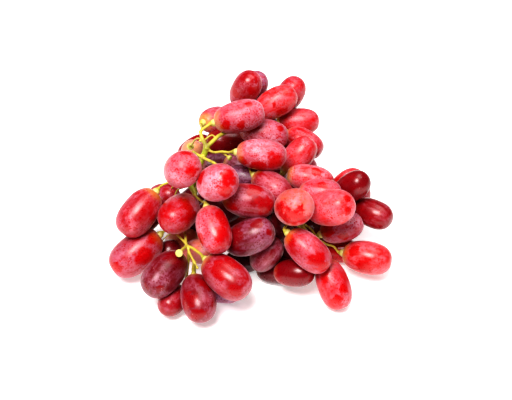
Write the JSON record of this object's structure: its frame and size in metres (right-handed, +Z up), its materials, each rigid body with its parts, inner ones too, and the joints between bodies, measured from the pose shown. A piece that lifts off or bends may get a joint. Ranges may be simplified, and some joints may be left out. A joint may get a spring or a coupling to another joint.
{
  "type": "bunch of grapes",
  "caption": "Bunch of oblong red table grapes on a branching green stalk, lying on its side on a flat surface.",
  "frame": {"origin": "on the surface it lies on, under the middle of the bunch's bounding box", "axes": "+Z up from the surface, -Y towards the side of the bunch that the picture shows, X across it"},
  "size_m": [0.1537, 0.1476, 0.0804],
  "materials": {
    "berry_skin": "taut red grape skin, satin, with patches of pale waxy bloom",
    "stalk_green": "fresh yellow-green stalk, satin"
  },
  "bodies": {
    "root": {"berries": "berry_skin", "stalk": "stalk_green"}
  },
  "joints": []
}
